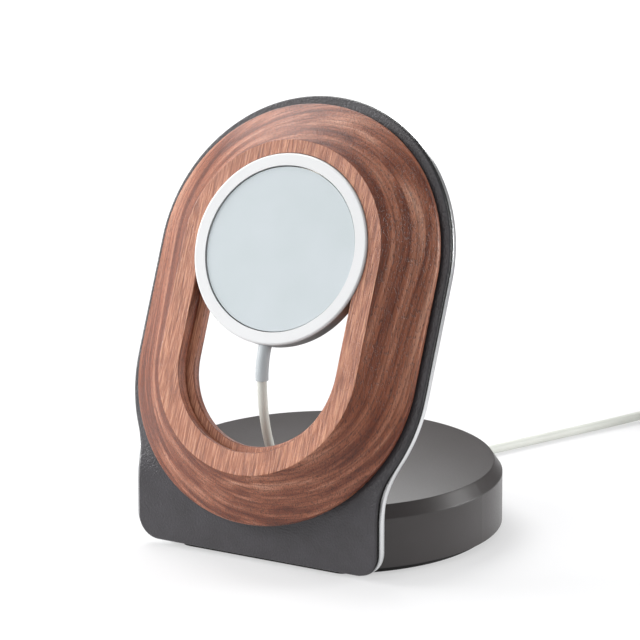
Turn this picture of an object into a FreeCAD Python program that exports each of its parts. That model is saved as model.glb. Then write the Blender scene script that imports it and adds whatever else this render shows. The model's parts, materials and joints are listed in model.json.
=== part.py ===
import FreeCAD, Part
import math
import os

V = FreeCAD.Vector

# All sizes are in millimetres. X runs to the right seen from the front, Y to the back, Z up.
# The origin lies on the table under the middle of the stand, its cord left out.

# How the sheet stands: an upright foot, then a bend, then a plane that leans back.
lean = 23.1
foot_y = -41.4
bend_z = 23.03
bend_radius = 26.0
leather_thick = 1.2
leather_round = 0.6
plate_thick = 2.0
plate_low = 1.5
leather_lift = 0.15

# The outline of leather and plate, drawn on the leaning plane (across, up the plane).
arc_low = 59.2
arc_high = 92.2
sheet_rise = 0.45
sheet_drop = 1.4
leather_radius = 47.7
foot_step = 7.8
plate_margin = 0.2
foot_margin = 0.9
foot_corner = 7.5
window_radius = 28.4
window_inset = 0.5

# The wooden ring: heights are measured out of the leather's front.
wood_radius = 45.3
wood_edge = 2.6
wood_under = 1.5
ridge_radius = 32.4
land_height = 13.2
ridge_round = 0.5
land_round = 0.3
pocket_radius = 25.75
lip_radius = 23.3
lip_thick = 3.0
lip_round = 0.5
wood_round = 0.9

# The charging puck and the seat it rests in.
puck_diameter = 55.9
puck_thick = 5.44
puck_proud = 0.68
seat_rise = 0.5
seat_clearance = 0.2
housing_wall = 1.1
housing_floor = 0.9
housing_round = 0.8
rim_high = 0.93
rim_inner = 24.3
rim_round = 0.6
face_clearance = 0.3
face_drop = 0.45
face_thick = 1.2

# Inside the puck, from its floor to its face.
board_radius = 21.8
board_thick = 0.6
shield_thick = 0.96
shield_hole = 7.6
can_radius = 6.8
can_high = 1.4
can_round = 0.4
winding_inner = 9.5
winding_outer = 20.6
antenna_inner = 21.0
antenna_thick = 1.1
yoke_inner = 22.4
yoke_outer = 25.6
yoke_thick = 0.4
magnet_count = 16
magnet_gap_angle = 44.0
magnet_slit = 0.5

# The base, a heavy disc cut flat in front where the foot is screwed on.
base_radius = 50.6
base_y = 2.22
base_low = 2.0
base_high = 20.3
chamfer_in = 2.5
chamfer_down = 3.6
pad_inset = 3.0
pad_front = 0.5
pad_corner = 4.0
channel_wide = 12.0
channel_high = 15.5
entry_y = -25.8

# Fasteners.
base_screw_x = 18.0
base_screw_z = 11.0
base_screw_shank = 4.0
base_screw_head = 6.8
base_screw_cone = 1.5
base_screw_long = 12.0
frame_screw_radius = 37.0
frame_screw_angles = (45.0, 135.0, 205.0, 335.0)
frame_screw_shank = 2.9
frame_screw_head = 5.6
frame_screw_head_high = 1.5
frame_screw_bite = 5.0
socket_across = 2.0
socket_deep = 1.0
hole_clearance = 0.4

# The cord.
cord_diameter = 2.8
relief_diameter = 3.8
relief_inside = 0.95
relief_radius = 23.2
relief_turn = 24.5
coil_radius = 16.5
coil_wide = 8.4
coil_high = 8.2
coil_low = 0.5
lead_long = 10.0
first_run = 5.4
arc_share = 0.45
table_gap = 0.05
tie_wide = 6.0
tie_thick = 0.5

# The plug at the far end.
plug_axis_z = 3.3
plug_relief_long = 9.0
plug_relief_big = 4.4
plug_relief_wall = 0.3
plug_body = (12.3, 6.2, 17.0)
plug_body_round = 2.6
plug_shell = (8.3, 2.5, 6.6)
plug_shell_wall = 0.35
plug_shell_flat = 0.05
plug_tongue = (6.6, 0.7, 5.4)

cos_lean = math.cos(math.radians(lean))
sin_lean = math.sin(math.radians(lean))
plane_y = foot_y - bend_z * sin_lean / cos_lean
sheet_back = leather_thick + plate_thick
leather_foot = leather_radius - foot_step
plate_radius = leather_radius + plate_margin
plate_foot = leather_foot + foot_margin
puck_radius = puck_diameter / 2
puck_v = arc_high + seat_rise
puck_front = land_height + puck_proud
puck_back = puck_front - puck_thick
puck_floor = puck_back + housing_floor
relief_w = puck_back + (puck_thick - rim_high) / 2

# A length that only has to reach past the pieces it cuts.
far = 200.0


def leaning(shape):
    """Sets a shape drawn as (across, up the plane, out of the leather) on the leaning plane."""
    turn = FreeCAD.Rotation(V(1, 0, 0), 90.0 - lean)
    shape.Placement = FreeCAD.Placement(V(0, plane_y, 0), turn).multiply(shape.Placement)
    return shape


def on_plane(u, v, w):
    return V(u, plane_y + v * sin_lean - w * cos_lean, v * cos_lean + w * sin_lean)


def arc_about(centre, radius, first, last):
    """An arc in the plane of the drawing, from one angle to another in degrees."""
    spots = []
    for angle in (first, (first + last) / 2, last):
        a = math.radians(angle)
        spots.append(centre + V(radius * math.cos(a), radius * math.sin(a), 0))
    return Part.Arc(*spots).toShape()


def line(a, b):
    return Part.LineSegment(a, b).toShape()


def rounded(points, radii, closed):
    """A line through the points, its corners rounded by tangent arcs."""
    edges = []
    ends = []
    count = len(points)
    for i, p in enumerate(points):
        if radii[i] == 0:
            ends.append((p, p))
            continue
        a = (points[i - 1] - p).normalize()
        b = (points[(i + 1) % count] - p).normalize()
        half = a.getAngle(b) / 2
        middle = (a + b).normalize()
        reach = radii[i] / math.tan(half)
        top = p + middle * (radii[i] / math.sin(half) - radii[i])
        ends.append((p + a * reach, p + b * reach))
        edges.append(Part.Arc(ends[i][0], top, ends[i][1]).toShape())
    last = count if closed else count - 1
    for i in range(last):
        edges.append(line(ends[i][1], ends[(i + 1) % count][0]))
    return Part.Wire(Part.__sortEdges__(edges))


def disc(radius, low, high, v=puck_v):
    return Part.makeCylinder(radius, high - low, V(0, v, low))


def ring(outer, inner, low, high):
    return disc(outer, low, high).cut(disc(inner, low - 1, high + 1))


def stadium(radius, low, high):
    """A straight-sided block with round ends on the two arc centres."""
    edges = [
        arc_about(V(0, arc_high, low), radius, 0, 180),
        line(V(-radius, arc_high, low), V(-radius, arc_low, low)),
        arc_about(V(0, arc_low, low), radius, 180, 360),
        line(V(radius, arc_low, low), V(radius, arc_high, low)),
    ]
    return Part.Face(Part.Wire(edges)).extrude(V(0, 0, high - low))


def sheet_outline(radius, half):
    """The front outline: round top, round middle, hollow curves down to the straight foot."""
    foot_v = bend_z / cos_lean
    high = arc_high + sheet_rise
    low = arc_low - sheet_drop
    drop = low - foot_v
    hollow = (drop * drop / (radius - half) - (radius + half)) / 2
    turn = math.degrees(math.atan2(drop, half + hollow))
    base = V(half, -far, 0)
    edges = [arc_about(V(0, high, 0), radius, 0, 180)]
    for side in (1, -1):
        start = 0 if side == 1 else 180
        edges.append(line(V(side * radius, high, 0), V(side * radius, low, 0)))
        edges.append(arc_about(V(0, low, 0), radius, start, start - side * turn))
        middle = V(side * (half + hollow), foot_v, 0)
        edges.append(arc_about(middle, hollow, 180 - start, 180 - start - side * turn))
        edges.append(line(V(side * half, foot_v, 0), V(side * half, base.y, 0)))
    edges.append(line(base, V(-base.x, base.y, 0)))
    face = Part.Face(Part.Wire(Part.__sortEdges__(edges)))
    face.translate(V(0, 0, -far / 2))
    return leaning(face.extrude(V(0, 0, far)))


def bend_centre():
    return V(0, foot_y + bend_radius, bend_z - bend_radius * math.tan(math.radians(lean / 2)))


def bent_layer(front, back, low):
    """One layer of the bent sheet seen from the side, between two depths behind the leather's front."""
    centre = bend_centre()
    up = V(0, sin_lean, cos_lean)
    spots = []
    for depth in (front, back):
        r = bend_radius - depth
        foot = V(0, foot_y + depth, low)
        start = centre + V(0, -r, 0)
        half = math.radians(lean / 2)
        middle = centre + V(0, -r * math.cos(half), r * math.sin(half))
        end = centre + V(0, -r * cos_lean, r * sin_lean)
        spots.append((foot, start, middle, end, end + up * far))
    a, b = spots
    edges = [line(a[0], a[1]), Part.Arc(a[1], a[2], a[3]).toShape(), line(a[3], a[4]), line(a[4], b[4])]
    edges += [line(b[4], b[3]), Part.Arc(b[3], b[2], b[1]).toShape(), line(b[1], b[0]), line(b[0], a[0])]
    face = Part.Face(Part.Wire(edges))
    face.translate(V(-far / 2, 0, 0))
    return face.extrude(V(far, 0, 0))


def round_corners(shape, half, low, radius):
    """Rounds the two lower corners of the foot."""
    chosen = []
    for edge in shape.Edges:
        box = edge.BoundBox
        if box.XLength < 0.01 and box.ZMax < low + 0.01 and box.XMax ** 2 > (half - 0.01) ** 2:
            chosen.append(edge)
    return shape.makeFillet(radius, chosen)


def frame_screw_spots():
    spots = []
    for angle in frame_screw_angles:
        a = math.radians(angle)
        centre = arc_high if angle < 180 else arc_low
        spots.append(V(frame_screw_radius * math.cos(a), centre + frame_screw_radius * math.sin(a), 0))
    return spots


def frame_screw_holes(diameter):
    start = V(0, 0, frame_screw_bite - far)
    holes = [Part.makeCylinder(diameter / 2, far, spot + start) for spot in frame_screw_spots()]
    return leaning(Part.makeCompound(holes))


def base_screw(x):
    """A countersunk screw, its flat head level with the front of the plate."""
    front = V(x, foot_y + leather_thick, base_screw_z)
    back = V(0, 1, 0)
    cone = Part.makeCone(base_screw_head / 2, base_screw_shank / 2, base_screw_cone, front, back)
    shank = Part.makeCylinder(base_screw_shank / 2, base_screw_long, front, back)
    return cone.fuse(shank).removeSplitter()


def base_screws():
    return Part.makeCompound([base_screw(-base_screw_x), base_screw(base_screw_x)])


def hex_socket(spot):
    """The six-sided hole for the key, going up from the outer end of a screw head."""
    reach = socket_across / math.sqrt(3)
    angles = [math.radians(60 * i) for i in range(7)]
    corners = [spot + V(reach * math.cos(a), reach * math.sin(a), 0) for a in angles]
    return Part.Face(Part.makePolygon(corners)).extrude(V(0, 0, socket_deep))


def frame_screws():
    """Pan-head screws that hold the ring from behind."""
    screws = []
    for spot in frame_screw_spots():
        under = spot - V(0, 0, sheet_back)
        shank = Part.makeCylinder(frame_screw_shank / 2, sheet_back + frame_screw_bite, under)
        end = under - V(0, 0, frame_screw_head_high)
        head = Part.makeCylinder(frame_screw_head / 2, frame_screw_head_high, end)
        rim = [e for e in head.Edges if len(e.Vertexes) == 1 and e.CenterOfMass.z < under.z - 1]
        head = head.makeFillet(frame_screw_head_high / 2, rim)
        screws.append(shank.fuse(head).removeSplitter().cut(hex_socket(end)))
    return leaning(Part.makeCompound(screws))


def sheet(radius, half, front, back, low, corner):
    """One bent layer cut to its outline."""
    layer = bent_layer(front, back, low).common(sheet_outline(radius, half)).Solids[0]
    return round_corners(layer, half, low, corner)


def opened(layer, window):
    """Cuts the window and the holes for the ring's screws."""
    layer = layer.cut(leaning(stadium(window, -far / 2, far / 2)))
    return layer.cut(frame_screw_holes(frame_screw_shank + hole_clearance))


def is_front_rim(edge):
    """True for an edge along the leather's outer rim, on its front side."""
    middle = edge.valueAt((edge.FirstParameter + edge.LastParameter) / 2)
    bend = bend_centre()
    in_bend = abs(middle.z - bend_z) < bend_z - bend.z + 0.01
    across = edge.BoundBox.XLength > leather_foot and in_bend
    depths = []
    for p in [middle] + [v.Point for v in edge.Vertexes]:
        out = (plane_y - p.y) * cos_lean + p.z * sin_lean
        near = math.hypot(p.y - bend.y, p.z - bend.z) - bend_radius
        upright = foot_y - p.y
        depths.append(min(abs(out), abs(near), abs(upright)))
    return max(depths) < 0.01 and not across


def leather_facing():
    low = plate_low + leather_lift
    corner = foot_corner - foot_margin
    layer = sheet(leather_radius, leather_foot, 0, leather_thick, low, corner)
    layer = layer.makeFillet(leather_round, [e for e in layer.Edges if is_front_rim(e)])
    return opened(layer, window_radius + window_inset)


def back_plate():
    plate = sheet(plate_radius, plate_foot, leather_thick, sheet_back, plate_low, foot_corner)
    return opened(plate, window_radius).cut(base_screws())


def wood_section(side, v):
    """The cut face of the ring: a wide slope up to the ridge, a flat land, a pocket and a thin lip."""
    lip_low = puck_back - lip_thick
    points = [
        (window_radius, 0, 0),
        (wood_radius, 0, wood_under),
        (wood_radius, wood_edge, wood_round),
        (ridge_radius, land_height, ridge_round),
        (pocket_radius, land_height, land_round),
        (pocket_radius, puck_back, 0),
        (lip_radius, puck_back, lip_round),
        (lip_radius, lip_low, 0),
        (window_radius, lip_low, 0),
    ]
    spots = [V(side * r, v, w) for r, w, _ in points]
    return Part.Face(rounded(spots, [p[2] for p in points], True))


def wood_frame():
    straight = V(0, arc_high - arc_low, 0)
    up = V(0, 0, 1)
    wood = wood_section(1, arc_high).revolve(V(0, arc_high, 0), up, 180)
    wood = wood.fuse(wood_section(-1, arc_low).revolve(V(0, arc_low, 0), up, 180))
    for side in (1, -1):
        wood = wood.fuse(wood_section(side, arc_low).extrude(straight))
    wood = wood.removeSplitter()
    wood = wood.cut(disc(puck_radius + seat_clearance, puck_back, land_height + 5))
    return leaning(wood).cut(frame_screw_holes(frame_screw_shank))


def base_profile(radius, low, high, inset, drop):
    """A disc with a sloping upper edge, turned about the middle of the base."""
    points = [(0, low), (radius, low), (radius, high - drop), (radius - inset, high), (0, high)]
    wire = Part.makePolygon([V(r, base_y, z) for r, z in points + points[:1]])
    return Part.Face(wire).revolve(V(0, base_y, 0), V(0, 0, 1), 360)


def base_weight():
    base = base_profile(base_radius, base_low, base_high, chamfer_in, chamfer_down)
    front = foot_y + sheet_back
    base = base.cut(Part.makeBox(far, far, far, V(-far / 2, front - far, -far / 2)))
    start = V(-channel_wide / 2, entry_y, 0)
    base = base.cut(Part.makeBox(channel_wide, far, channel_high, start))
    base = base.cut(Part.makeCylinder(channel_wide / 2, far, V(0, entry_y, 0)))
    base = base.cut(bent_layer(0, sheet_back, 0))
    return base.cut(base_screws())


def base_pad():
    """The soft sheet under the base, a little smaller than the base all round."""
    pad = Part.makeCylinder(base_radius - pad_inset, base_low, V(0, base_y, 0))
    front = foot_y + sheet_back + pad_front
    pad = pad.cut(Part.makeBox(far, far, far, V(-far / 2, front - far, -far / 2)))
    upright = [e for e in pad.Edges if abs(e.tangentAt(e.FirstParameter).z) > 0.99]
    corners = [e for e in upright if e.BoundBox.YMax < front + 1]
    return pad.makeFillet(pad_corner, corners)


def puck_housing():
    cup = disc(puck_radius, puck_back, puck_front - rim_high)
    rim = [e for e in cup.Edges if len(e.Vertexes) == 1 and e.CenterOfMass.z < puck_back + 0.01]
    cup = cup.makeFillet(housing_round, rim)
    cup = cup.cut(disc(puck_radius - housing_wall, puck_floor, puck_front))
    deep = housing_wall + relief_inside + 1
    hole = Part.makeCylinder(relief_diameter / 2, deep, V(0, puck_v - puck_radius - 1, relief_w), V(0, 1, 0))
    return leaning(cup.cut(hole))


def puck_ring():
    """The pale front rim, rounded outside, standing round the face."""
    low = puck_front - rim_high
    rim = disc(puck_radius, low, puck_front)
    edge = [e for e in rim.Edges if len(e.Vertexes) == 1 and e.CenterOfMass.z > puck_front - 0.01]
    rim = rim.makeFillet(rim_round, edge)
    return leaning(rim.cut(disc(rim_inner, low - 1, puck_front + 1)))


def puck_face():
    high = puck_front - face_drop
    return leaning(disc(rim_inner - face_clearance, high - face_thick, high))


def circuit_board():
    return leaning(disc(board_radius, puck_floor, puck_floor + board_thick))


def coil_shield():
    low = puck_floor + board_thick
    return leaning(ring(board_radius, shield_hole, low, low + shield_thick))


def shield_can():
    low = puck_floor + board_thick
    can = disc(can_radius, low, low + can_high)
    edge = [e for e in can.Edges if len(e.Vertexes) == 1 and e.CenterOfMass.z > low + can_high / 2]
    return leaning(can.makeFillet(can_round, edge))


def charging_coil():
    low = puck_floor + board_thick + shield_thick
    return leaning(ring(winding_outer, winding_inner, low, puck_front - face_drop - face_thick))


def antenna_loop():
    low = puck_floor + board_thick + shield_thick
    return leaning(ring(board_radius, antenna_inner, low, low + antenna_thick))


def magnet_yoke():
    return leaning(ring(yoke_outer, yoke_inner, puck_floor, puck_floor + yoke_thick))


def magnet_ring():
    """Short magnets side by side round the rim, with a gap where the cord comes in."""
    low = puck_floor + yoke_thick
    step = (360.0 - magnet_gap_angle) / magnet_count
    slit = math.degrees(magnet_slit / yoke_outer)
    high = puck_front - face_drop - face_thick
    corners = [(yoke_inner, low), (yoke_outer, low), (yoke_outer, high), (yoke_inner, high)]
    section = Part.Face(Part.makePolygon([V(r, 0, z) for r, z in corners + corners[:1]]))
    magnets = []
    for i in range(magnet_count):
        magnet = section.revolve(V(0, 0, 0), V(0, 0, 1), step - slit)
        magnet.rotate(V(0, 0, 0), V(0, 0, 1), -90 + magnet_gap_angle / 2 + step * i + slit / 2)
        magnet.translate(V(0, puck_v, 0))
        magnets.append(magnet)
    return leaning(Part.makeCompound(magnets))


def relief_spots():
    """Start, middle and end of the sleeve, which bends down as it leaves the puck."""
    start = on_plane(0, puck_v - puck_radius, relief_w)
    centre = start + V(0, cos_lean, -sin_lean) * relief_radius
    spots = []
    for turn in (0, relief_turn / 2, relief_turn):
        a = math.radians(lean - turn)
        spots.append(centre - V(0, math.cos(a), -math.sin(a)) * relief_radius)
    return spots


def pipe(path, radius):
    edge = path.Edges[0]
    start = edge.valueAt(edge.FirstParameter)
    circle = Part.Wire([Part.makeCircle(radius, start, edge.tangentAt(edge.FirstParameter))])
    return path.makePipeShell([circle], True, True)


def strain_relief():
    start, middle, end = relief_spots()
    inner = on_plane(0, puck_v - puck_radius + housing_wall + relief_inside, relief_w)
    path = Part.Wire([line(inner, start), Part.Arc(start, middle, end).toShape()])
    return pipe(path, relief_diameter / 2)


def cord_route():
    """The corners of the cord's way: through the window, into the base, out behind it and over the table."""
    low = cord_diameter / 2 + table_gap
    lead = coil_low + cord_diameter / 2
    leave = math.radians(lean - relief_turn)
    start = relief_spots()[2]
    return [
        start,
        start - V(0, math.sin(leave), math.cos(leave)) * first_run,
        V(0, -35.7, 39.5),
        V(0, -31.8, 29.5),
        V(0, -26.8, 18.8),
        V(0, -21.3, 10.5),
        V(0, -12.3, 6.6),
        V(0, 4.7, 5.6),
        V(0, 30.7, 5.9),
        V(0.4, 58.7, 3.4),
        V(5.6, 78.7, low + 0.1),
        V(16.1, 104.7, low),
        V(27.5, 131.1, low),
        V(38.7, 157.3, lead),
    ]


def cord_radii(points):
    """Each corner's arc takes up most of the shorter run beside it."""
    radii = [0]
    for a, p, b in zip(points, points[1:], points[2:]):
        turn = (p - a).getAngle(b - p)
        radii.append(arc_share * min((p - a).Length, (b - p).Length) / math.tan(turn / 2))
    return radii + [0]


def cable_run():
    points = cord_route()
    return pipe(rounded(points, cord_radii(points), False), cord_diameter / 2)


def coil_frame():
    """Middle of the coil on the table, the way the cord comes in, and the way across it."""
    a, b = cord_route()[-2:]
    along = V(b.x - a.x, b.y - a.y, 0).normalize()
    across = V(along.y, -along.x, 0)
    outer_turn = coil_radius + coil_wide / 2 - cord_diameter / 2
    middle = V(b.x, b.y, 0) + along * lead_long + across * outer_turn
    return middle, along, across, outer_turn


def cable_coil():
    """The spare length as one neat coil, with the two short leads that run in and out of it."""
    middle, along, across, outer_turn = coil_frame()
    high = coil_low + coil_high
    inner = coil_radius - coil_wide / 2
    outer = coil_radius + coil_wide / 2
    corners = [(inner, coil_low), (outer, coil_low), (outer, high), (inner, high)]
    section = Part.Face(rounded([V(r, 0, z) for r, z in corners], [cord_diameter / 2] * 4, True))
    coil = section.revolve(V(0, 0, 0), V(0, 0, 1), 360)
    coil.translate(middle)
    lead_in = cord_route()[-1]
    coil = coil.fuse(Part.makeCylinder(cord_diameter / 2, lead_long, lead_in, along))
    out = middle + along * outer_turn + V(0, 0, plug_axis_z)
    coil = coil.fuse(Part.makeCylinder(cord_diameter / 2, lead_long + outer_turn, out, across))
    return coil.removeSplitter()


def cable_tie():
    """A narrow strap round the coil."""
    middle, along, _, _ = coil_frame()
    wide = coil_wide + 2 * tie_thick
    high = coil_high + 2 * tie_thick
    strap = Part.makeBox(wide, tie_wide, high, V(coil_radius - wide / 2, -tie_wide / 2, coil_low - tie_thick))
    long_edges = [e for e in strap.Edges if abs(e.tangentAt(e.FirstParameter).y) > 0.99]
    strap = strap.makeFillet(tie_thick, long_edges)
    strap.rotate(V(0, 0, 0), V(0, 0, 1), math.degrees(math.atan2(-along.y, -along.x)))
    strap.translate(middle)
    return strap.cut(cable_coil())


def plugged(shape):
    """Sets a plug piece, drawn along X from the end of the cord, in its place on the table."""
    middle, along, across, outer_turn = coil_frame()
    end = middle + along * outer_turn + across * (lead_long + outer_turn) + V(0, 0, plug_axis_z)
    turn = FreeCAD.Rotation(V(0, 0, 1), math.degrees(math.atan2(across.y, across.x)))
    shape.Placement = FreeCAD.Placement(end, turn).multiply(shape.Placement)
    return shape


def oblong(size, start, radius):
    """A flat bar with round sides, drawn along X."""
    wide, thick, long = size
    bar = Part.makeBox(long, wide, thick, V(start, -wide / 2, -thick / 2))
    return bar.makeFillet(radius, [e for e in bar.Edges if abs(e.tangentAt(e.FirstParameter).x) > 0.99])


def plug_relief():
    small = cord_diameter / 2 + plug_relief_wall
    return plugged(Part.makeCone(small, plug_relief_big / 2, plug_relief_long, V(0, 0, 0), V(1, 0, 0)))


def plug_body_piece():
    return plugged(oblong(plug_body, plug_relief_long, plug_body_round))


def plug_shell_piece():
    start = plug_relief_long + plug_body[2]
    wide, thick, long = plug_shell
    inner = (wide - 2 * plug_shell_wall, thick - 2 * plug_shell_wall, long)
    shell = oblong(plug_shell, start, thick / 2 - plug_shell_flat)
    return plugged(shell.cut(oblong(inner, start + plug_shell_wall, inner[1] / 2 - plug_shell_flat)))


def plug_tongue_piece():
    start = plug_relief_long + plug_body[2] + plug_shell_wall
    wide, thick, long = plug_tongue
    return plugged(Part.makeBox(long, wide, thick, V(start, -wide / 2, -thick / 2)))


nodes = {
    "wood_frame": wood_frame,
    "leather_facing": leather_facing,
    "back_plate": back_plate,
    "base_weight": base_weight,
    "base_pad": base_pad,
    "base_screws": base_screws,
    "frame_screws": frame_screws,
    "puck_housing": puck_housing,
    "puck_ring": puck_ring,
    "puck_face": puck_face,
    "charging_coil": charging_coil,
    "coil_shield": coil_shield,
    "antenna_loop": antenna_loop,
    "magnet_ring": magnet_ring,
    "magnet_yoke": magnet_yoke,
    "circuit_board": circuit_board,
    "shield_can": shield_can,
    "strain_relief": strain_relief,
    "cable_run": cable_run,
    "cable_coil": cable_coil,
    "cable_tie": cable_tie,
    "plug_relief": plug_relief,
    "plug_body": plug_body_piece,
    "plug_shell": plug_shell_piece,
    "plug_tongue": plug_tongue_piece,
}

os.makedirs("parts", exist_ok=True)
for name, make in nodes.items():
    shape = make()
    box = shape.BoundBox
    sizes = (round(box.XLength, 2), round(box.YLength, 2), round(box.ZLength, 2))
    print(name, "valid", shape.isValid(), "solids", len(shape.Solids), end=" ")
    print("volume", round(shape.Volume, 1), "size", sizes)
    shape.exportStep(os.path.join("parts", name + ".step"))

route = cord_route()
print("cord radii", [round(r, 1) for r in cord_radii(route)[1:-1]])
path = rounded(route, cord_radii(route), False)
section = math.pi * (cord_diameter / 2) ** 2
print("cord run", round(path.Length, 1), "section x length", round(section * path.Length, 1))
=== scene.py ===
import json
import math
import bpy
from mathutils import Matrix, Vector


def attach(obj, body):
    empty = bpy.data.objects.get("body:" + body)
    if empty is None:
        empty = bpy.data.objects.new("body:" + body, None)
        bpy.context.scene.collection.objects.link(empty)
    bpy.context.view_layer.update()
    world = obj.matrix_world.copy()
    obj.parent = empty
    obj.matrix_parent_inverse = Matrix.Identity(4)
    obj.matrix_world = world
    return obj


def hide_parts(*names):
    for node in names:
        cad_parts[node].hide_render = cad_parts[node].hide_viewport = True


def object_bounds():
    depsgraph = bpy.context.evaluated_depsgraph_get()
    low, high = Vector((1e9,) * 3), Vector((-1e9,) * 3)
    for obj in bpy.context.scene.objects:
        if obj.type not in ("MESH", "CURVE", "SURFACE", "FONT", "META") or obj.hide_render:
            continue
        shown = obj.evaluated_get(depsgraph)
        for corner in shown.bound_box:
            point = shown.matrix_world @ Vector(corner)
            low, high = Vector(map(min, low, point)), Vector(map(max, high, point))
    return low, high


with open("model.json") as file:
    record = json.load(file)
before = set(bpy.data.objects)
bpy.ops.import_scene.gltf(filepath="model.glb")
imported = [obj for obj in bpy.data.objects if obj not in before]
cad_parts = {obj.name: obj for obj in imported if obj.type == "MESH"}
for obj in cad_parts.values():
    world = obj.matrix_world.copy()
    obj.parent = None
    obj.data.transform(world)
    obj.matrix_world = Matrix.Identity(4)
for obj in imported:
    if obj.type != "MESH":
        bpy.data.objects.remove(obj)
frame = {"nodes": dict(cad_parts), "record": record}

# %% [markdown]
# # A charging stand in walnut, leather and steel
# The solid model is already loaded as the frame, in metres. Its box is measured first, because
# nothing that is added later may grow beyond it. Sizes of the object are written in millimetres
# below, and `mm` turns them to metres.

mm = 0.001
cad_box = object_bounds()
scene = bpy.context.scene
nodes = {o.name: o for o in bpy.data.objects if o.type == "MESH"}
in_mm = [[round(c / mm, 1) for c in corner] for corner in cad_box]
print("solid model:", len(frame["nodes"]), "pieces in a box", in_mm)

# %% [markdown]
# ## Camera
# The picture was taken with a long lens from the right and a little above. The camera's place and
# focal length were worked out from the outlines of the puck, the ring, the sheet and the base, so
# the perspective is the same here. A camera in Blender looks along its own -Z, and
# `to_track_quat` turns that axis towards a point. Lamps shine along -Z too, so they use it later.

# %% Camera
def turned_to(place, target):
    return (Vector(target) - Vector(place)).to_track_quat("-Z", "Y").to_euler()


eye = Vector((644.82, -1112.37, 418.94)) * mm
aim = Vector((9.05, -20.04, 68.96)) * mm
sensor_width = 36.0
picture_width = 640
focal_pixels = 4558.8  # the focal length, counted in pixels of the picture
camera_data = bpy.data.cameras.new("studio_camera")
camera_data.sensor_width = sensor_width
camera_data.lens = sensor_width * focal_pixels / picture_width
camera = bpy.data.objects.new("studio_camera", camera_data)
camera.location = eye
camera.rotation_euler = turned_to(eye, aim)
scene.collection.objects.link(camera)
scene.camera = camera
print("lens", round(camera_data.lens, 1), "mm, distance", round((aim - eye).length, 3), "m")

# %% [markdown]
# ## The cord's way
# The cord leaves the puck's sleeve, drops through the window of the ring, goes into the base and
# comes out behind it. The rest of its metre lies out of the picture as a tied coil. A NURBS curve
# is a good cord: a few control points give one smooth line, and its bevel gives the thickness.
# These are the same corners as in the solid model, in millimetres.

# %% The cord's corners
cord_thick = 2.8
way = [
    (0.0, -37.51, 54.085),
    (0.0, -37.378, 48.687),
    (0.0, -35.7, 39.5),
    (0.0, -31.8, 29.5),
    (0.0, -26.8, 18.8),
    (0.0, -21.3, 10.5),
    (0.0, -12.3, 6.6),
    (0.0, 4.7, 5.6),
    (0.0, 30.7, 5.9),
    (0.4, 58.7, 3.4),
    (5.6, 78.7, 1.55),
    (16.1, 104.7, 1.45),
    (27.5, 131.1, 1.45),
    (38.7, 157.3, 1.9),
]
print("corners of the cord:", len(way))

# %% [markdown]
# ## The coil
# The turns lie side by side and on each other, a cord's thickness apart: three below, three above
# and one on top. A turn is a circle, so its points come from sine and cosine. Between two turns
# the radius and the height glide over the last sixth of a turn. Control points lie a little
# outside the line that they pull, hence the small factor.

# %% The coil's turns
along = Vector((way[-1][0] - way[-2][0], way[-1][1] - way[-2][1], 0)).normalized()
across = Vector((along.y, -along.x, 0))
run_in, outer, low = 10, 19.3, 1.9
coil_middle = Vector((way[-1][0], way[-1][1], 0)) + along * run_in + across * outer
radii = [outer - i * cord_thick for i in range(3)]
below = [(radius, low) for radius in radii]
above = [(radius, low + cord_thick) for radius in reversed(radii)]
on_top = (17.9, 7.15)
turns = below + above + [on_top, on_top]
points_per_turn = 16
pull = 1 / math.cos(math.pi / points_per_turn)
glide_from = 5 / 6


def coil_point(k):
    turn, part = divmod(k / points_per_turn, 1.0)
    radius, height = turns[int(turn)]
    if part > glide_from:
        glide = (part - glide_from) / (1 - glide_from)
        next_radius, next_height = turns[int(turn) + 1]
        radius += (next_radius - radius) * glide
        height += (next_height - height) * glide
    angle = 2 * math.pi * part
    ring = across * (-math.cos(angle)) + along * math.sin(angle)
    return coil_middle + ring * radius * pull + Vector((0, 0, height))


whole_turns = 7
coil = [coil_point(k) for k in range(whole_turns * points_per_turn + points_per_turn // 4)]
print("coil points:", len(coil))

# %% [markdown]
# ## The cord itself
# From the coil's top the cord comes down beside it to the plug. All points go into one spline. Its
# order and its fixed ends are set after the points are in, because they depend on how many there
# are. A point's radius multiplies the bevel's depth, and Blender widens a curve's box by that
# radius. So the radius is the cord's real one, and the depth is 1.

# %% The cord as one curve
def beside_coil(forward, sideways, height):
    return coil_middle + along * forward + across * sideways + Vector((0, 0, height))


tail = [beside_coil(18.6, 8, 7.0), beside_coil(19.1, 18, 4.4), beside_coil(19.3, 29.3, 3.3)]
points = [Vector(p) for p in way] + coil + tail
curve = bpy.data.curves.new("cord", "CURVE")
curve.dimensions = "3D"
line = curve.splines.new("NURBS")
line.points.add(len(points) - 1)
for knot, p in zip(line.points, points):
    knot.co = (*(p * mm), 1.0)
    knot.radius = cord_thick / 2 * mm
line.order_u = 3
line.use_endpoint_u = True
line.resolution_u = 6
curve.bevel_depth = 1.0
curve.bevel_resolution = 5
print("cord with", len(points), "control points")

# %% [markdown]
# The cord rides on the stand's only body and stands for its two solids. The sleeve, the tie and
# the plug are pieces of the solid model, and they belong to the cord.

# %% The cord as a piece
cord = bpy.data.objects.new("cord", curve)
scene.collection.objects.link(cord)
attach(cord, "root")
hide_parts("cable_run", "cable_coil")

# %% [markdown]
# ## Colours and nodes
# Screen colours are written as sRGB hex. A shader works with linear light, so one function turns
# them. One small function adds a node, sets its values and links its inputs, so each material
# reads as a short list.

# %% Helpers for materials
def linear(code):
    parts = [int(code[i:i + 2], 16) / 255 for i in (1, 3, 5)]
    return tuple(c / 12.92 if c <= 0.04045 else ((c + 0.055) / 1.055) ** 2.4
                 for c in parts) + (1.0,)


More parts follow.
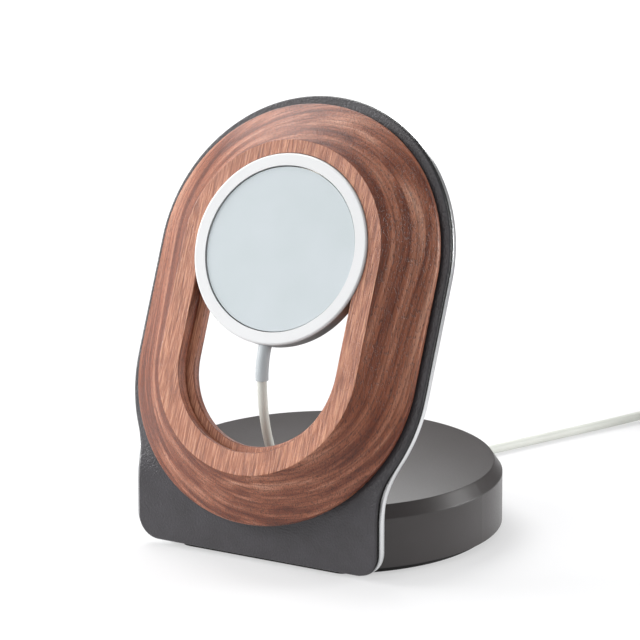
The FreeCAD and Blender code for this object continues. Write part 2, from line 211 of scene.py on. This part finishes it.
def add(tree, kind, values=None, links=None, stops=None, **settings):
    """Adds a node with its settings, values and links.

    Stops are the places and colours of a colour ramp; a number stands for a grey."""
    node = tree.nodes.new(kind)
    for name, value in settings.items():
        setattr(node, name, value)
    for name, value in (values or {}).items():
        node.inputs[name].default_value = value
    for name, source in (links or {}).items():
        tree.links.new(source, node.inputs[name])
    for i, (place, colour) in enumerate(stops or []):
        marks = node.color_ramp.elements
        mark = marks[i] if i < len(marks) else marks.new(place)
        mark.position = place
        mark.color = linear(colour) if isinstance(colour, str) else (colour,) * 3 + (1.0,)
    return node


def start(name):
    material = bpy.data.materials.new(name)
    material.use_nodes = True
    tree = material.node_tree
    return material, tree, tree.nodes["Principled BSDF"]


print("white is", linear("#ffffff"))

# %% [markdown]
# ## Oiled walnut
# Walnut cut flat has its growth layers nearly level with the board. Where the ring's outside
# slopes, the cut runs through the layers and shows them as contour lines, and where fibres end in
# the surface they look like dots. A texture in three dimensions gives all that by itself: it is
# laid in the board's own axes, with the fibres up the plane, and the surfaces cut through it.
# `Mapping` turns the stand's axes into the board's and metres into millimetres. A second turn
# tilts the layers, because no board is cut quite level with them.

# %% The board's axes
lean = math.radians(23.1)
back_y, back_z = -41.4, 23.03  # a point in the plane of the board's back
foot_y = back_y - back_z * math.tan(lean)  # where that plane meets the floor
turn = math.pi / 2 - lean
to_foot = (0.0, -foot_y * math.cos(turn), foot_y * math.sin(turn))
to_mm = (1 / mm,) * 3
walnut, tree, shader = start("oiled walnut")
board = add(tree, "ShaderNodeMapping",
            {"Location": to_foot, "Rotation": (-turn, 0, 0), "Scale": to_mm},
            {"Vector": add(tree, "ShaderNodeTexCoord").outputs["Object"]}).outputs["Vector"]
tilted = add(tree, "ShaderNodeMapping", {"Location": (0, 0, 4.5), "Rotation": (0.05, -0.12, 0)},
             {"Vector": board}).outputs["Vector"]
print("the board leans", round(math.degrees(lean), 1), "degrees")

# %% [markdown]
# Sizes of a pattern are given in millimetres, across the board, along its fibres and through its
# thickness. The bands of colour are 2 mm thick and far wider. Every few millimetres a dark line
# ends a year's growth: a saw-tooth wave darkens slowly and jumps back, as the wood does. Fibres
# are fine streaks of 0.4 mm by 8 mm.

# %% Walnut layers
def stretched(tree, place, sizes, kind="ShaderNodeTexNoise", values=None, **settings):
    scale = tuple(1 / size for size in sizes)
    scaled = add(tree, "ShaderNodeMapping", {"Scale": scale}, {"Vector": place}).outputs["Vector"]
    return add(tree, kind, {"Scale": 1.0, **(values or {})}, {"Vector": scaled}, **settings)


bands = stretched(tree, tilted, (20, 71.43, 2),
                  values={"Detail": 4.0, "Roughness": 0.62, "Distortion": 0.3})
lines = stretched(tree, tilted, (33.33, 100, 3.333), "ShaderNodeTexWave",
                  {"Distortion": 6.0, "Detail": 3.0, "Detail Scale": 1.2},
                  bands_direction="Z", wave_profile="SAW")
fibres = stretched(tree, board, (0.4167, 7.692, 0.4167),
                   values={"Detail": 4.0, "Roughness": 0.6}).outputs["Fac"]
layers = add(tree, "ShaderNodeValToRGB", links={"Fac": bands.outputs["Fac"]},
             stops=[(0.24, "#4c2416"), (0.41, "#723b27"), (0.52, "#8f553d"),
                    (0.62, "#a87058"), (0.76, "#c1927b")])
growth = add(tree, "ShaderNodeValToRGB", links={"Fac": lines.outputs["Fac"]},
             stops=[(0.0, 1.06), (0.7, 0.94), (0.95, 0.5), (1.0, 1.0)])
streak = add(tree, "ShaderNodeValToRGB", links={"Fac": fibres},
             stops=[(0.34, 0.78), (0.5, 1.0), (0.66, 1.2)])
wood = add(tree, "ShaderNodeMix", {"Factor": 0.75},
           {"A": layers.outputs["Color"], "B": growth.outputs["Color"]},
           data_type="RGBA", blend_type="MULTIPLY")
wood = add(tree, "ShaderNodeMix", {"Factor": 1.0},
           {"A": wood.outputs["Result"], "B": streak.outputs["Color"]},
           data_type="RGBA", blend_type="MULTIPLY")
print("walnut layers:", len(tree.nodes), "nodes")

# %% [markdown]
# Pores are open vessels, dark pits a third of a millimetre wide. The flat land round the puck and
# the lip in the window were planed along the layers and show the fibres as long fine streaks. They
# are also painted paler. Part of that is the flat cut of the wood, and part is painted light on
# faces turned to the front, which keeps the shaded lip pale. The direction of the surface,
# compared with the board's, tells where they are: the dot product of both is 1 where they agree
# and 0.77 on the ring's slope.

# %% Walnut pores and land
pores = stretched(tree, board, (0.3125, 1.25, 0.3125),
                  values={"Detail": 2.0, "Roughness": 0.5}).outputs["Fac"]
pit = add(tree, "ShaderNodeValToRGB", links={"Fac": pores},
          stops=[(0.55, 0.0), (0.65, 1.0)]).outputs["Color"]
deep = add(tree, "ShaderNodeMath", {1: 0.6}, {0: pit}, operation="MULTIPLY").outputs["Value"]
wood = add(tree, "ShaderNodeMix", {"B": linear("#3d241c")},
           {"Factor": deep, "A": wood.outputs["Result"]}, data_type="RGBA")
facing = add(tree, "ShaderNodeTexCoord").outputs["Normal"]
board_front = (0, -math.cos(lean), math.sin(lean))
level = add(tree, "ShaderNodeVectorMath", {1: board_front}, {0: facing},
            operation="DOT_PRODUCT").outputs["Value"]
# Painted light: faces turned to the front get the paler colour, and so does the lip where it lies
# in shade.
planed_and_lit = add(tree, "ShaderNodeMapRange", {"From Min": 0.9, "From Max": 0.97, "To Max": 0.8},
             {"Value": level}).outputs["Result"]
pale = add(tree, "ShaderNodeValToRGB", links={"Fac": fibres},
           stops=[(0.34, "#824f3a"), (0.5, "#ad6f53"), (0.64, "#cf9676")]).outputs["Color"]
wood = add(tree, "ShaderNodeMix", data_type="RGBA",
           links={"Factor": planed_and_lit, "A": wood.outputs["Result"], "B": pale})
tree.links.new(wood.outputs["Result"], shader.inputs["Base Color"])
print("walnut colours:", len(tree.nodes), "nodes")

# %% [markdown]
# The oil leaves a low sheen, rougher on one fibre than on the next. Fibres stand up a little and
# pores sink in, so the same two patterns make the bump, 0.2 mm deep at most.

# %% Walnut sheen
rough = add(tree, "ShaderNodeMapRange", {"To Min": 0.3, "To Max": 0.5}, {"Value": fibres})
tree.links.new(rough.outputs["Result"], shader.inputs["Roughness"])
relief = add(tree, "ShaderNodeMath", {1: -0.6}, {0: pit, 2: fibres}, operation="MULTIPLY_ADD")
grain = add(tree, "ShaderNodeBump", {"Strength": 0.7, "Distance": 0.2 * mm},
            {"Height": relief.outputs["Value"]})
tree.links.new(grain.outputs["Normal"], shader.inputs["Normal"])
shader.inputs["IOR"].default_value = 1.48
print("walnut:", len(tree.nodes), "nodes")

# %% [markdown]
# ## Pigmented leather
# The facing is thin leather with a pigmented finish: a fine pebble, slightly worn lighter here and
# there, and a cut edge that is painted darker. Voronoi cells half a millimetre wide make the
# pebble. The front faces towards -Y, so the surface's direction tells it from the cut edge: its
# Y is between -0.9 and -1 on the front and 0 on the straight sides.

# %% Leather
def surface(name, colour, roughness, ior=1.5, metallic=0.0):
    """A plain material, with its nodes, its shader and its place in millimetres."""
    material, tree, shader = start(name)
    shader.inputs["Base Color"].default_value = linear(colour)
    shader.inputs["Roughness"].default_value = roughness
    shader.inputs["Metallic"].default_value = metallic
    if not metallic:
        shader.inputs["IOR"].default_value = ior
    place = add(tree, "ShaderNodeMapping", {"Scale": to_mm},
                {"Vector": add(tree, "ShaderNodeTexCoord").outputs["Object"]}).outputs["Vector"]
    return material, tree, shader, place


leather, tree, shader, place = surface("pigmented leather", "#4b494c", 0.42)
pebble = stretched(tree, place, (0.5263,) * 3, "ShaderNodeTexVoronoi", feature="SMOOTH_F1")
worn = stretched(tree, place, (8.333,) * 3, values={"Detail": 2.0})
tone = add(tree, "ShaderNodeValToRGB", links={"Fac": worn.outputs["Fac"]},
           stops=[(0.35, "#383639"), (0.65, "#3e3c40")])
facing = add(tree, "ShaderNodeSeparateXYZ",
             links={"Vector": add(tree, "ShaderNodeNewGeometry").outputs["Normal"]}).outputs["Y"]
front = add(tree, "ShaderNodeMapRange", {"From Min": -0.3, "From Max": -0.75}, {"Value": facing})
dyed = add(tree, "ShaderNodeMix", {"A": linear("#141314")},
           {"Factor": front.outputs["Result"], "B": tone.outputs["Color"]}, data_type="RGBA")
tree.links.new(dyed.outputs["Result"], shader.inputs["Base Color"])
bump = add(tree, "ShaderNodeBump", {"Strength": 0.9, "Distance": 0.16 * mm},
           {"Height": pebble.outputs["Distance"]}, invert=True)
tree.links.new(bump.outputs["Normal"], shader.inputs["Normal"])
print("leather:", len(tree.nodes), "nodes")

# %% [markdown]
# ## A surface with grit
# Blasting, plating, rolling and moulding all leave a fine grit, so one function makes them: the
# colour drifts slowly over the piece, and roughness and bump follow a noise as fine as the grit.
# Grit under 0.15 mm would not show in the picture and is drawn at that size or coarser. Edges of
# real pieces are never quite sharp. A Bevel node bends the light as a worn edge of the given
# radius would, and the shape stays as it is.

# %% Grit
def speckled(name, colours, roughness, size, bump_depth, metallic=0.0, ior=1.5, worn_edge=0.15):
    """A surface with a grit of the given size in millimetres, between two colours."""
    material, tree, shader, place = surface(name, colours[0], roughness, ior, metallic)
    grit = stretched(tree, place, (size,) * 3, values={"Detail": 3.0}).outputs["Fac"]
    cloud = stretched(tree, place, (16.67,) * 3, values={"Detail": 2.0}).outputs["Fac"]
    drift = add(tree, "ShaderNodeValToRGB", links={"Fac": cloud},
                stops=[(0.35, colours[0]), (0.65, colours[1])])
    tree.links.new(drift.outputs["Color"], shader.inputs["Base Color"])
    spread = 0.08
    gloss = add(tree, "ShaderNodeMapRange",
                {"To Min": roughness - spread, "To Max": roughness + spread}, {"Value": grit})
    tree.links.new(gloss.outputs["Result"], shader.inputs["Roughness"])
    rounded = add(tree, "ShaderNodeBevel", {"Radius": worn_edge * mm}, samples=4)
    bump = add(tree, "ShaderNodeBump", {"Strength": 0.3, "Distance": bump_depth * mm},
               {"Height": grit, "Normal": rounded.outputs["Normal"]})
    tree.links.new(bump.outputs["Normal"], shader.inputs["Normal"])
    return material


finish = {"oiled_walnut": walnut, "charcoal_leather": leather}
print("finishes so far:", list(finish))

# %% [markdown]
# ## Metals
# The bent sheet is blasted steel, bright where its edge was cut and rounded. Screws are zinc
# plated, the puck's cup is blasted and anodised, and the magnets are nickel plated. A metal keeps
# the default IOR, because its own colour is its reflection.

# %% Metals
finish["sheet_steel"] = speckled("blasted steel", ("#dadbdc", "#e1e2e3"), 0.3, 0.25, 0.02,
                                 metallic=1.0, worn_edge=0.9)
finish["screw_steel"] = speckled("zinc plated steel", ("#9a9b9d", "#a7a8aa"), 0.3, 0.2, 0.01,
                                 metallic=1.0)
finish["housing_aluminium"] = speckled("blasted anodised aluminium", ("#c9cacb", "#cfd0d1"),
                                       0.38, 0.15, 0.01, metallic=1.0)
finish["yoke_steel"] = speckled("rolled steel", ("#a2a2a3", "#adadae"), 0.35, 0.3, 0.01,
                                metallic=1.0)
finish["plated_magnet"] = speckled("nickel plated magnet", ("#b9b6ae", "#c3c0b8"), 0.2, 0.3, 0.01,
                                   metallic=1.0)
finish["copper"] = speckled("enamelled copper wire", ("#b4633c", "#c0703f"), 0.3, 0.3, 0.02,
                            metallic=1.0)
finish["plug_steel"] = speckled("drawn stainless steel", ("#c0c0c1", "#c8c8c9"), 0.25, 0.3, 0.005,
                                metallic=1.0)
print("finishes with the metals:", len(finish))

# %% [markdown]
# ## Painted shade where the leather meets the steel
# Where the leather ends on the steel, the crease is painted dark as the shade that falls there.
# Ambient occlusion measures how closed in a point is, here within the leather's thickness, so the
# painted shade darkens the crease by itself and the free edge stays bright.

# %% Painted shade in the crease
tree = finish["sheet_steel"].node_tree
shader = tree.nodes["Principled BSDF"]
bare = shader.inputs["Base Color"].links[0].from_socket
openness = add(tree, "ShaderNodeAmbientOcclusion", {"Distance": 1.2 * mm}, samples=8)
crease_shade_mask = add(tree, "ShaderNodeMapRange", {"From Min": 0.55, "From Max": 0.95},
            {"Value": openness.outputs["AO"]})
# Painted shade: the steel turns near black where the leather's edge closes it in.
painted_crease_shade = add(tree, "ShaderNodeMix", {"A": linear("#161617")},
           {"Factor": crease_shade_mask.outputs["Result"], "B": bare}, data_type="RGBA")
tree.links.new(painted_crease_shade.outputs["Result"], shader.inputs["Base Color"])
print("steel:", len(tree.nodes), "nodes")

# %% [markdown]
# ## Coat, rubber and ceramic
# The base carries a dark powder coat: a satin film with the slight orange peel that the melted
# powder leaves, and it runs thick and round over the edges. The sheet under it is nitrile rubber,
# dull and nearly black. The shield behind the coil is pressed ferrite, a grainy ceramic.

# %% Coat, rubber and ceramic
finish["base_coat"] = speckled("powder coat", ("#322e2d", "#363232"), 0.34, 0.45, 0.04,
                               worn_edge=0.5)
finish["pad_rubber"] = speckled("nitrile rubber", ("#171616", "#1d1c1c"), 0.8, 0.6, 0.08)
finish["ferrite"] = speckled("pressed ferrite", ("#2b2b2d", "#333335"), 0.6, 0.3, 0.03)
print("base:", finish["base_coat"].name, "on", finish["pad_rubber"].name)

# %% [markdown]
# ## Plastics
# The puck's rim is moulded polycarbonate with a satin skin, and its face is a softer polyurethane,
# pale and cool. The cord's jacket is a matte elastomer, and the sleeve at the puck is a stiffer,
# greyer one. The plug is polished in its mould, so it is the glossiest.

# %% Plastics
finish["white_rim"] = speckled("white polycarbonate", ("#d3d4d5", "#d6d7d8"), 0.35, 0.5, 0.01,
                               ior=1.58)
finish["pale_face"] = speckled("pale polyurethane", ("#b8c1c4", "#bcc4c8"), 0.42, 0.4, 0.01)
finish["cord_white"] = speckled("white elastomer jacket", ("#c9cbc4", "#ced0c9"), 0.48, 0.6, 0.02)
finish["sleeve_grey"] = speckled("grey elastomer sleeve", ("#aeb4b7", "#b4babd"), 0.5, 0.6, 0.02)
finish["tie_white"] = speckled("white nylon", ("#b4b4b2", "#b9b9b7"), 0.45, 0.4, 0.01)
finish["plug_white"] = speckled("white glossy polycarbonate", ("#b4b4b4", "#b9b9b8"),
                                0.22, 0.5, 0.005, ior=1.58)
finish["plug_black"] = speckled("black liquid crystal polymer", ("#161616", "#1c1c1c"),
                                0.5, 0.3, 0.01)
finish["board_green"] = speckled("solder mask on glass fibre", ("#1d4a2c", "#235233"),
                                 0.4, 0.4, 0.01)
print("finishes:", len(finish))

# %% [markdown]
# ## Finishes on the pieces
# The record lists each piece of the solid model with the name of its finish. A loop puts that
# material in the piece's first slot, and the shape stays as it is.

# %% Finishes on the pieces
for entry in frame["record"]["subparts"]:
    piece = nodes[entry["node"]]
    piece.data.materials.clear()
    piece.data.materials.append(finish[entry["material_slot"]])
curve.materials.append(finish["cord_white"])

# %% [markdown]
# ## A white room
# The picture was taken in soft light before a white background. The world gives that background
# where the camera sees it. As a lamp it is half as strong, and in reflections weaker still,
# because the room round a product is darker than the paper behind it. `Light Path` tells these
# kinds of light apart.

# %% The room
def kinds_of_light(tree):
    """Two masks: light that the camera sees, straight or through glass, and mirrored light."""
    path = add(tree, "ShaderNodeLightPath").outputs
    seen = add(tree, "ShaderNodeMath", operation="MAXIMUM",
               links={0: path["Is Camera Ray"], 1: path["Is Transmission Ray"]})
    return seen.outputs["Value"], path["Is Glossy Ray"]


world = bpy.data.worlds.new("white studio")
scene.world = world
world.use_nodes = True
tree = world.node_tree
sky = tree.nodes["Background"]
sky.inputs["Color"].default_value = linear("#ffffff")
seen, mirrored = kinds_of_light(tree)
room = add(tree, "ShaderNodeMix", {"A": 0.5, "B": 0.2}, {"Factor": mirrored}).outputs["Result"]
strength = add(tree, "ShaderNodeMix", {"B": 1.0}, {"Factor": seen, "A": room})
tree.links.new(strength.outputs["Result"], sky.inputs["Strength"])
print("room:", world.name)

# %% [markdown]
# ## White paper
# The stand is on white paper, and a grey table lies further out. Paper near the stand glows by
# half, so its shadows stay as pale as in the picture, and metal mirrors it. Further out the glow
# grows to full white for the camera alone and fades as a lamp and in reflections, so metal
# mirrors bright paper near the stand and a darker room beyond.

# %% Paper
paper, tree, shader = start("white paper")
spot = add(tree, "ShaderNodeTexCoord").outputs["Object"]
away = add(tree, "ShaderNodeVectorMath", links={0: spot}, operation="LENGTH").outputs["Value"]
far = add(tree, "ShaderNodeMapRange", {"From Min": 0.15, "From Max": 0.32}, {"Value": away},
          interpolation_type="SMOOTHSTEP").outputs["Result"]
tone = add(tree, "ShaderNodeMix", {"A": linear("#a2a2a3"), "B": linear("#6e6e70")},
           {"Factor": far}, data_type="RGBA")
matte = add(tree, "ShaderNodeBsdfDiffuse", links={"Color": tone.outputs["Result"]})
to_camera = add(tree, "ShaderNodeMix", {"A": 0.5, "B": 1.0}, {"Factor": far}).outputs["Result"]
to_stand = add(tree, "ShaderNodeMix", {"A": 0.5, "B": 0.0}, {"Factor": far}).outputs["Result"]
seen = kinds_of_light(tree)[0]
share = add(tree, "ShaderNodeMix", links={"Factor": seen, "A": to_stand, "B": to_camera})
glow = add(tree, "ShaderNodeEmission", {"Color": linear("#ffffff")},
           {"Strength": share.outputs["Result"]})
both = add(tree, "ShaderNodeAddShader",
           links={0: matte.outputs["BSDF"], 1: glow.outputs["Emission"]})
tree.links.new(both.outputs["Shader"], tree.nodes["Material Output"].inputs["Surface"])
tree.nodes.remove(shader)
print("paper:", len(tree.nodes), "nodes")

# %% [markdown]
# The floor is one square that is wide enough to fill every view. It lies a tenth of a millimetre
# under the rubber, because two faces in the same place would flicker.

# %% Floor
half = 6.0
corners = [(-half, -half, 0), (half, -half, 0), (half, half, 0), (-half, half, 0)]
sheet_of_paper = bpy.data.meshes.new("paper_floor")
sheet_of_paper.from_pydata(corners, [], [(0, 1, 2, 3)])
sheet_of_paper.materials.append(paper)
floor = bpy.data.objects.new("paper_floor", sheet_of_paper)
floor.location.z = -0.1 * mm
scene.collection.objects.link(floor)
print("floor:", 2 * half, "m wide")

# %% [markdown]
# ## Lamps
# A large lamp stands on the left, weaker ones above and in front fill the shadows, and one on the
# right lights the side of the base. The coat on the top of the base mirrors a small lamp close
# behind the stand: bright in front, and fading to the back, from where the lamp hangs too high to
# be mirrored. Places and sizes are in metres and powers in watts. The Standard view transform
# shows colours as they are written.

# %% Lamps
def lamp(name, place, target, size, power):
    data = bpy.data.lights.new(name, "AREA")
    data.shape = "DISK"
    data.size = size
    data.energy = power
    thing = bpy.data.objects.new(name, data)
    thing.location = place
    thing.rotation_euler = turned_to(place, target)
    scene.collection.objects.link(thing)


stand_middle = (0, 0, 0.07)
lamp("key_lamp", (-1.2, -0.38, 0.52), stand_middle, 0.9, 22.0)
lamp("front_lamp", (-0.3, -1.2, 0.8), stand_middle, 0.8, 5.5)
lamp("top_lamp", (-0.65, 0.3, 1.1), stand_middle, 0.8, 9.0)
lamp("back_lamp", (-0.055, 0.1, 0.155), (0.03, -0.05, 0.155), 0.16, 0.24)
lamp("side_lamp", (0.75, 0.5, 0.25), (0, 0, 0.03), 0.4, 6.0)
scene.view_settings.view_transform = "Standard"
